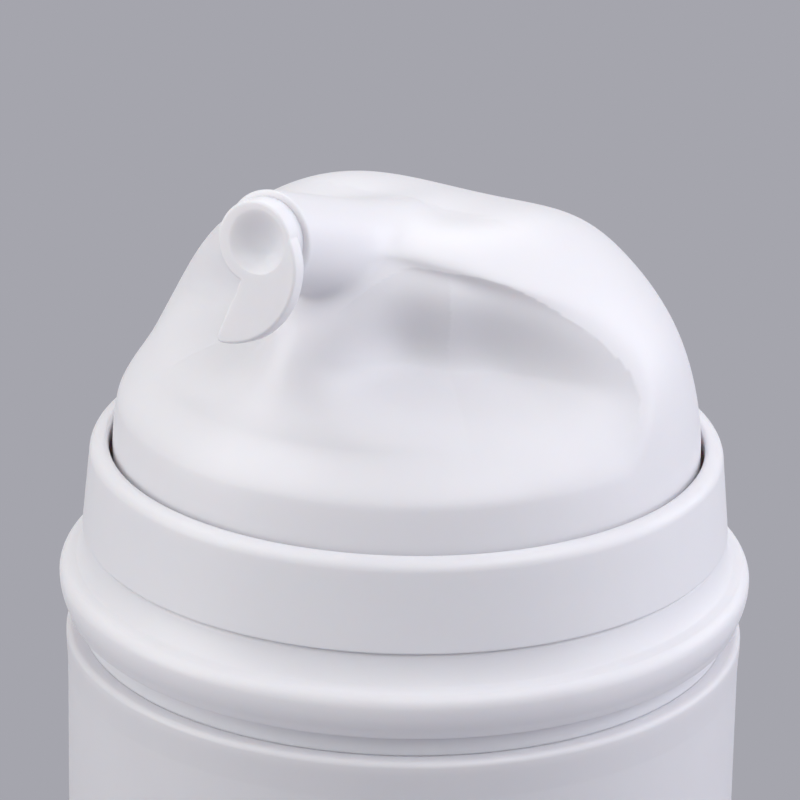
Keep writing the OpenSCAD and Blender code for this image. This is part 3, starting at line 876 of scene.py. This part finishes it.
@dataclass
class Collar:
    """The collar: rolled lip, tapered band, cove, bead and groove, and the well for the head.

    The bead's outer side is two arcs that meet near its middle, a large one below and a small one
    above. Places given from the bead's middle are (outwards from its edge, up).
    """

    rim: float
    bead_r: float = 25.6
    bead_z: float = 4.25
    bead_top: float = 1.15
    bead_side: float = 4.0
    bead_foot: tuple[float, float] = (0.8, 0.25)
    cove: float = 4.5
    cove_from_bead: tuple[float, float] = (2.53, 3.67)
    band_r: float = 23.88
    band_z: float = 7.86
    band_step: float = 0.35
    band_round: float = 0.12
    band_rounds_z: tuple[float, float] = (-0.16, 0.08)
    lip_r: float = 23.35
    lip_z: float = 14.65
    lip_out: float = 1.0
    lip_in: float = 0.35
    guide_r: float = 21.95
    guide_h: float = 1.4
    guide_slope: float = 0.5
    well_r: float = 22.45
    well_round: float = 0.3
    groove_r: float = 23.9
    groove_z: float = 1.8
    groove_round: float = 0.3
    seat_gap: float = 0.02
    spigot_r: float = 23.35
    hole_r: float = 9.5
    flange_r: float = 11.05
    floor_z: float = -2.2
    under_z: tuple[float, float] = (-3.7, -6.0)

    def profile(self) -> np.ndarray:
        """Closed profile (r, z above the rim), counterclockwise from the groove's foot."""
        b, mid = self.bead_r, self.bead_z
        top, out, inner = self.lip_z, self.lip_out, self.lip_in
        foot_in, foot = self.bead_foot
        cove_out, cove_up = self.cove_from_bead
        r, g, w = self.band_round, self.groove_round, self.well_round
        guide, plate, spigot = top - self.guide_h, *self.under_z
        below, above = self.band_rounds_z
        return np.concatenate([
            [[self.groove_r, self.seat_gap]],
            arc((self.groove_r + g, self.groove_z - g), g, 180, 90, 6),
            arc((b - foot_in, self.groove_z + foot), foot, -90, -31, 6),
            arc((b - self.bead_side, mid), self.bead_side, -29, -3, 10),
            arc((b - self.bead_top, mid), self.bead_top, 2, 62, 12),
            arc((b + cove_out, mid + cove_up), self.cove, 214, 184, 12),
            arc((self.band_r - self.band_step, self.band_z + below), r, 180, 90, 5),
            arc((self.band_r - r, self.band_z + above), r, -80, 5, 6),
            arc((self.lip_r - out, top - out), out, 2, 88, 14),
            arc((self.guide_r + inner, top - inner), inner, 90, 180, 7),
            [[self.guide_r, guide], [self.well_r, guide - self.guide_slope],
             [self.well_r, self.floor_z + w]],
            arc((self.well_r - w, self.floor_z + w), w, 0, -90, 5),
            [[self.hole_r, self.floor_z], [self.hole_r, plate], [self.flange_r, plate],
             [self.flange_r, spigot], [self.spigot_r, spigot], [self.spigot_r, self.seat_gap]]])

    def build(self) -> bpy.types.Object:
        """Makes the collar as a body of revolution.

        Returns:
            The collar's object.
        """
        return revolve("collar_ring", self.profile() + [0.0, self.rim])


@dataclass
class Bottle:
    """The bottle: open tube with a soft rim, a ledge for the deck and a rounded foot."""

    rim: float
    outer_r: float = 25.0
    wall: float = 1.6
    rim_round: float = 0.45
    bore_round: float = 0.3
    flare: float = 0.12
    flare_z: tuple[float, float] = (-3.0, -0.9)
    foot_round: float = 1.2
    foot_slope: float = 0.4
    ledge: float = 0.6
    ledge_z: float = -8.6
    groove: float = 0.4
    groove_z: float = 3.0

    def profile(self) -> np.ndarray:
        """Closed profile (r, z above the base), counterclockwise from the foot's inner edge."""
        bore, rim, slope = self.outer_r - self.wall, self.rim, self.foot_slope
        c, e, b = self.foot_round, self.rim_round, self.bore_round
        top, shelf, deep = self.outer_r + self.flare, self.ledge, self.groove
        ledge, mid = rim + self.ledge_z, self.groove_z
        return np.concatenate([
            [[bore, slope], [bore + slope, 0.0]],
            arc((self.outer_r - c, c), c, -90, 0, 12),
            [[self.outer_r, rim + self.flare_z[0]], [top, rim + self.flare_z[1]]],
            arc((top - e, rim - e), e, 0, 90, 8),
            arc((bore + b, rim - b), b, 90, 180, 5),
            [[bore, ledge], [bore - shelf, ledge], [bore - shelf, ledge - shelf],
             [bore, ledge - 2 * shelf], [bore, mid + deep], [bore + deep, mid],
             [bore, mid - deep]]])

    def build(self) -> bpy.types.Object:
        """Makes the bottle as a body of revolution.

        Returns:
            The bottle's object.
        """
        return revolve("bottle_tube", self.profile())


@dataclass(frozen=True)
class Lamp:
    """A soft lamp: turn from the camera, height above the horizon, power and colour."""

    name: str
    turn: float
    height: float
    watts: float
    colour: str = "#FFFFFF"


# Turns and heights are in degrees, powers in watts. More of the light comes from the right.
LAMPS = (
    Lamp("lamp_front_right", 22, 45, 1.25),
    Lamp("lamp_right_high", 68, 52, 1.35, "#F8F8FF"),
    Lamp("lamp_right_side", 75, 10, 1.1, "#F6F7FF"),
    Lamp("lamp_right_rear", 113, 22, 1.5, "#F6F7FF"),
    Lamp("lamp_rear_high", 180, 50, 1.3),
    Lamp("lamp_left_rear", -120, 45, 0.5),
    Lamp("lamp_left_high", -70, 45, 1.3),
    Lamp("lamp_left_side", -75, 10, 1.75, "#FFFEFC"),
)


@dataclass
class Studio:
    """Plain floor, a ring of soft lamps, a weak even surround and the photograph's camera."""

    rim: float
    backdrop: str = "#A5A5AD"
    floor_mm: float = 6000.0
    floor_drop_mm: float = 0.05
    lamp_mm: float = 450.0
    lamp_away: float = 700.0
    surround: float = 0.22
    distance: float = 393.424
    elevation: float = 0.418791
    azimuth: float = 31.0
    yaw: float = 0.0014272
    pitch: float = 0.0413921
    roll: float = -0.0187066
    focal_px: float = 5264.44
    frame_px: float = 800.0
    sensor_mm: float = 36.0

    def floor(self) -> None:
        """Adds the floor: an even colour to the camera and in gloss, and paper to other light."""
        half, z = self.floor_mm / 2 * MM, -self.floor_drop_mm * MM
        mesh = bpy.data.meshes.new("studio_floor")
        mesh.from_pydata([(-half, -half, z), (half, -half, z), (half, half, z), (-half, half, z)],
                         [], [(0, 1, 2, 3)])
        obj = bpy.data.objects.new("studio_floor", mesh)
        bpy.context.scene.collection.objects.link(obj)
        mat, tree = blank_material("matt_paper_floor")
        path = add_node(tree, "ShaderNodeLightPath")
        seen = add_node(tree, "ShaderNodeMath", {"operation": "MAXIMUM"},
                        links={0: path.outputs["Is Camera Ray"], 1: path.outputs["Is Glossy Ray"]})
        paper = add_node(tree, "ShaderNodeBsdfDiffuse", values={"Color": linear(self.backdrop)})
        shown = add_node(tree, "ShaderNodeEmission", values={"Color": linear(self.backdrop)})
        mixed = add_node(tree, "ShaderNodeMixShader", links={
            0: seen.outputs[0], 1: paper.outputs[0], 2: shown.outputs[0]})
        add_node(tree, "ShaderNodeOutputMaterial", links={"Surface": mixed.outputs[0]})
        mesh.materials.append(mat)

    def direction(self, turn: float, height: float) -> Vector:
        """Direction of a place seen from the rim's middle.

        Args:
            turn: turn about the bottle in radians, 0 towards -Y and a quarter turn towards +X.
            height: angle above the horizon in radians.

        Returns:
            The unit vector.
        """
        flat = math.cos(height)
        return Vector((math.sin(turn) * flat, -math.cos(turn) * flat, math.sin(height)))

    def place_lamp(self, lamp: Lamp) -> None:
        """Adds a square soft lamp that looks at the middle of the bottle's rim.

        Args:
            lamp: the lamp's place, power and colour.
        """
        data = bpy.data.lights.new(lamp.name, "AREA")
        data.shape = "RECTANGLE"
        data.size = data.size_y = self.lamp_mm * MM
        data.energy = lamp.watts
        data.color = linear(lamp.colour)[:3]
        aim = self.direction(math.radians(self.azimuth + lamp.turn), math.radians(lamp.height))
        obj = bpy.data.objects.new(lamp.name, data)
        obj.location = Vector((0, 0, self.rim * MM)) + aim * self.lamp_away * MM
        obj.rotation_euler = aim.to_track_quat("Z", "Y").to_euler()
        bpy.context.scene.collection.objects.link(obj)

    def lamps(self) -> None:
        """Adds the ring of lamps and the even surround."""
        for lamp in LAMPS:
            self.place_lamp(lamp)
        world = bpy.data.worlds.new("surround")
        world.use_nodes = True
        background = world.node_tree.nodes["Background"].inputs
        background["Color"].default_value = linear("#FFFFFF")
        background["Strength"].default_value = self.surround
        bpy.context.scene.world = world

    def camera(self) -> None:
        """Adds the camera where the photograph's rings put it.

        It starts looking at the middle of the bottle's rim from the distance, elevation and
        azimuth, and is turned about its own up, right and forward axes by yaw, pitch and roll.
        """
        a = math.radians(self.azimuth)
        out = self.direction(a, self.elevation)
        forward, right = -out, Vector((math.cos(a), math.sin(a), 0))
        up = right.cross(forward)
        for axis, angle in ((up, self.yaw), (right, self.pitch)):
            turn = Matrix.Rotation(angle, 3, axis.copy())
            forward, right, up = turn @ forward, turn @ right, turn @ up
        turn = Matrix.Rotation(self.roll, 3, forward.copy())
        right, up = turn @ right, turn @ up
        data = bpy.data.cameras.new("camera")
        data.sensor_width = self.sensor_mm
        data.lens = self.focal_px / self.frame_px * self.sensor_mm
        data.clip_start, data.clip_end = 0.01, 50.0
        obj = bpy.data.objects.new("camera", data)
        place = Vector((0, 0, self.rim * MM)) + out * self.distance * MM
        obj.matrix_world = Matrix.Translation(place) @ Matrix(
            (right, up, -forward)).transposed().to_4x4()
        bpy.context.scene.collection.objects.link(obj)
        bpy.context.scene.camera = obj


def dress(piece: bpy.types.Object, finish: MouldedPlastic | DrawnSteel | NitrileRubber) -> None:
    """Puts one finish on a piece and logs the piece's and the finish's names.

    Args:
        piece: mesh object, its old materials are dropped.
        finish: the finish to build.
    """
    piece.data.materials.clear()
    piece.data.materials.append(finish.build())
    log.info("%s: %s", piece.name, finish.name)


def main() -> None:
    logging.basicConfig(level=logging.INFO, format="%(message)s")
    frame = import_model()
    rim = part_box("bottle_body")[1].z / MM
    white = MouldedPlastic("satin_polypropylene")
    studio = Studio(rim)
    studio.camera()
    studio.lamps()
    studio.floor()

    head = PressHead(rim)
    shown = [
        (head.build(), "head", "actuator_shell", white, Slot.HEAD),
        (NozzlePlug(rim, head.form).build(), "plug", "nozzle_plug",
         MouldedPlastic("satin_polyethylene", roughness=0.45, scatter=0.35), Slot.PLUG),
        (Collar(rim).build(), "root", "collar", white, Slot.COLLAR),
        # The tube gets a greyer copy of the satin white, so it renders darker than the collar and
        # the head.
        (Bottle(rim).build(), "root", "bottle_body",
         MouldedPlastic("satin_polypropylene_tube", "#DFDEE2", "#D9D8DD"), Slot.BOTTLE),
    ]
    for piece, body, node, finish, slot in shown:
        dress(piece, finish)
        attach(piece, body)
        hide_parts(node)

    # Unpigmented grades of the inner pieces: a little yellower, and more light sinks in.
    natural = MouldedPlastic("natural_polypropylene", "#E4E3DE", "#DDDCD6", scatter=0.35)
    soft = MouldedPlastic("natural_polyethylene", "#E6E5E1", "#DEDDD8", roughness=0.5, scatter=0.4)
    steel, rubber = DrawnSteel("spring_wire"), NitrileRubber("nitrile_seal")
    inside = {
        "base_cap": (white, Slot.BASE), "follower_piston": (soft, Slot.PISTON),
        "pump_piston": (soft, Slot.PISTON), "inlet_valve": (soft, Slot.PISTON),
        "pump_deck": (natural, Slot.INNER), "pump_chamber": (natural, Slot.INNER),
        "valve_cage": (natural, Slot.INNER), "retainer_ring": (natural, Slot.INNER),
        "stem": (natural, Slot.INNER), "stem_plug": (natural, Slot.INNER),
        "stem_socket": (natural, Slot.INNER), "deck_seal": (rubber, Slot.SEAL),
        "chamber_gasket": (rubber, Slot.SEAL), "return_spring": (steel, Slot.SPRING),
    }
    for node, (finish, slot) in inside.items():
        dress(frame["nodes"][node], finish)

    bpy.context.scene.view_settings.view_transform = "Standard"


if __name__ == "__main__":
    main()
